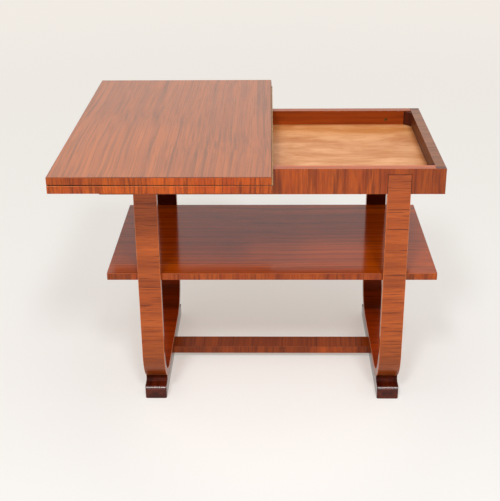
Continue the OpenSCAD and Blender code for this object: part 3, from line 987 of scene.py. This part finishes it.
def joint_line(name, side, front):
    foot_low, head_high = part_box(f"{side}_end_frame")
    box_low, box_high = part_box("front_apron" if front else "back_apron")
    wide = head_high.x - foot_low.x + LINE_WIDE
    tall = head_high.z - box_low.z + LINE_WIDE / 2
    mesh = bmesh.new()
    bmesh.ops.create_grid(mesh, x_segments=1, y_segments=1, size=0.5)
    bmesh.ops.scale(mesh, vec=(wide, tall, 1.0), verts=mesh.verts)
    middle = mesh.faces[:][0]
    ring = bmesh.ops.inset_region(
        mesh, faces=[middle], thickness=LINE_WIDE, use_boundary=True, use_even_offset=True
    )["faces"]
    lowest = min(ring, key=lambda f: f.calc_center_median().y)
    bmesh.ops.delete(mesh, geom=[middle, lowest], context="FACES")
    made = bmesh.ops.extrude_face_region(mesh, geom=mesh.faces[:])["geom"]
    bmesh.ops.translate(mesh, vec=(0, 0, LINE_DEEP), verts=only_vertices(made))
    bmesh.ops.rotate(mesh, cent=(0, 0, 0), matrix=Matrix.Rotation(math.pi / 2, 3, "X"), verts=mesh.verts)
    across = (foot_low.x + head_high.x) / 2
    depth = box_low.y + LINE_UNDER_FACE + LINE_DEEP if front else box_high.y - LINE_UNDER_FACE
    bmesh.ops.translate(mesh, vec=(across, depth, box_low.z + tall / 2), verts=mesh.verts)
    bmesh.ops.recalc_face_normals(mesh, faces=mesh.faces)
    piece = finish_mesh(mesh, name, wax)
    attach(piece, frame["nodes"]["front_apron"]["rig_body"])


for side in ("left", "right"):
    joint_line(f"joint_line_front_{side}", side, True)
    joint_line(f"joint_line_back_{side}", side, False)
print("four joint lines")

# %% [markdown]
# ## Pieces that keep their solid
#
# Dowels, blocks, the bearer, the hinge plates and the parts of the pivot are hidden or too small for an
# eased edge to show. They keep their solids just as they are, and only their material changes.

# %% Pieces that keep their solid
PLAIN = {
    "well_floor": ply,
    "pivot_bearer": beech,
    "stop_peg": beech,
    "hinge_lower_plate": brass,
    "hinge_upper_plate": brass,
    "pivot_spacer": brass,
    "hinge_pin": steel,
    "pivot_plate": steel,
    "pivot_bolt": steel,
    "pivot_washer": steel,
    "pivot_nut": steel,
}
for name in frame["nodes"]:
    if name.startswith("corner_block"):
        PLAIN[name] = block_wood_with_painted_shade
    elif "dowels" in name:
        PLAIN[name] = beech
for name, material in PLAIN.items():
    frame["nodes"][name].material_slots[0].material = material
print(len(PLAIN), "pieces dressed as they are")

# %% [markdown]
# ## Baize
#
# Each playing face is lined with a sheet of green baize, glued flat in a shallow recess. It is a thin sheet
# with a little thickness of its own, so it starts as a grid and a Solidify modifier gives it its depth.

# %% Baize sheets
FILLS_RECESS = 0.96


def baize_sheet(node, name, body):
    low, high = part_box(node)
    mesh = bmesh.new()
    bmesh.ops.create_grid(mesh, x_segments=16, y_segments=24, size=0.5)
    size = high - low
    bmesh.ops.scale(mesh, vec=(size.x, size.y, 1.0), verts=mesh.verts)
    bmesh.ops.translate(mesh, vec=(low + high) / 2, verts=mesh.verts)
    sheet = finish_mesh(mesh, name, baize)
    sheet.data.shade_flat()
    thick = sheet.modifiers.new("thickness", "SOLIDIFY")
    thick.thickness, thick.offset = size.z * FILLS_RECESS, 0.0
    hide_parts(node)
    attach(sheet, body)
    print(name, [round(c, 3) for c in size])


baize_sheet("lower_baize", "baize_lower", "lower_top")
baize_sheet("upper_baize", "baize_upper", "upper_top")

# %% [markdown]
# ## The floor
#
# The picture has a pale, almost shadowless studio. The floor is a wide disc that is lit like any surface,
# and it also glows a little to the camera and to reflections, which is what makes it look bleached without
# throwing more light on the table. It glows more with the distance, and a little more in a spot under the
# table's front, which is painted light that lifts the table's shadow there. The glow is warmer than the
# paint that the camera sees, so the floor's shadows keep a painted warm tint.

# %% Floor
LIT_PAINT, SEEN_PAINT = (0.86, 0.85, 0.845, 1), (0.50, 0.532, 0.555, 1)
# The warm glow over cooler paint leaves a painted warm tint in the floor's shadows.
WARM_GLOW = (1.0, 0.905, 0.81, 1)
GLOW_NEAR, GLOW_FAR, PAINTED_LIGHT_SPOT = 0.40, 0.53, 0.07
PAINTED_LIGHT_AT = (0.04, -0.3, 0)
FLOOR_RADIUS, FLOOR_DROP = 16.0, 0.5 * MM


def seen_directly(tree):
    """1 for rays from the camera and for mirror and glass rays."""
    path = tree.nodes.new("ShaderNodeLightPath")
    seen = math_step(tree, "MAXIMUM", path.outputs["Is Camera Ray"], path.outputs["Is Glossy Ray"])
    return math_step(tree, "MAXIMUM", seen, path.outputs["Is Transmission Ray"])


floor_paint, tree, shader = new_finish(
    "studio_floor", 0.6, Specular_IOR_Level=0.0, Emission_Color=WARM_GLOW
)
place = object_place(tree)
seen = seen_directly(tree)
tree.links.new(blend_colours(tree, seen, LIT_PAINT, SEEN_PAINT), shader.inputs["Base Color"])
away = step(tree, "VectorMath", {0: place}, out=1, operation="LENGTH")
# A spot of painted light under the table's front lifts the shadow there.
from_painted_light_spot = step(tree, "VectorMath", {0: place, 1: PAINTED_LIGHT_AT}, out=1, operation="DISTANCE")
wide_glow = between(tree, away, 0.8, 6.0, GLOW_NEAR, GLOW_FAR)
glow = math_step(tree, "ADD", wide_glow, between(tree, from_painted_light_spot, 0.2, 0.5, PAINTED_LIGHT_SPOT, 0.0))
tree.links.new(math_step(tree, "MULTIPLY", seen, glow), shader.inputs["Emission Strength"])

mesh = bmesh.new()
bmesh.ops.create_circle(mesh, cap_ends=True, segments=96, radius=FLOOR_RADIUS)
bmesh.ops.translate(mesh, vec=(0, 0, -FLOOR_DROP), verts=mesh.verts)
floor = finish_mesh(mesh, "floor", floor_paint)
print("floor", round(floor.dimensions.x), "m across")

# %% [markdown]
# ## Lamps
#
# Two soft lamps stand in front, high up on the left and on the right, and both look at the middle of the
# table. They are rectangles of about a metre, so their shadows are soft.

# %% Lamps
LAMPS = {"key_left": (-1.14, -4.5, 4.9), "key_right": (0.95, -4.5, 4.9)}
LAMP_TARGET = Vector((0, 0, 0.4))
LAMP_WIDE, LAMP_HIGH, LAMP_WATTS = 0.8, 1.3, 142

for name, place in LAMPS.items():
    light = bpy.data.lights.new(name, "AREA")
    light.shape, light.size, light.size_y, light.energy = "RECTANGLE", LAMP_WIDE, LAMP_HIGH, LAMP_WATTS
    lamp = bpy.data.objects.new(name, light)
    aim = (LAMP_TARGET - Vector(place)).to_track_quat("-Z", "Y").to_matrix().to_4x4()
    lamp.matrix_world = Matrix.Translation(place) @ aim
    bpy.context.scene.collection.objects.link(lamp)
    print(name, "stands", place[2], "m high")

# %% [markdown]
# ## Sky
#
# The rest of the light comes from the air all round, dimmer at the horizon than overhead, as in a white
# room with a lit ceiling. To the camera and to reflections the air is one pale tone, so the background
# stays even.

# %% Sky
SKY_LOW, SKY_HIGH, SKY_SEEN = 0.20, 0.74, 0.87
LIT_AIR, SEEN_AIR = (1.0, 0.94, 0.87, 1), (1.0, 0.97, 0.94, 1)

world = bpy.data.worlds.new("studio_air")
world.use_nodes = True
tree = world.node_tree
air = tree.nodes["Background"]
height = one_axis(tree, step(tree, "TexCoord", out="Generated"), "Z")
sky = between(tree, height, 0.0, 0.9, SKY_LOW, SKY_HIGH)
seen = seen_directly(tree)
tree.links.new(blend_colours(tree, seen, LIT_AIR, SEEN_AIR), air.inputs["Color"])
tree.links.new(step(tree, "Mix", {0: seen, 2: sky, 3: SKY_SEEN}), air.inputs["Strength"])
bpy.context.scene.world = world
print("a pale sky")
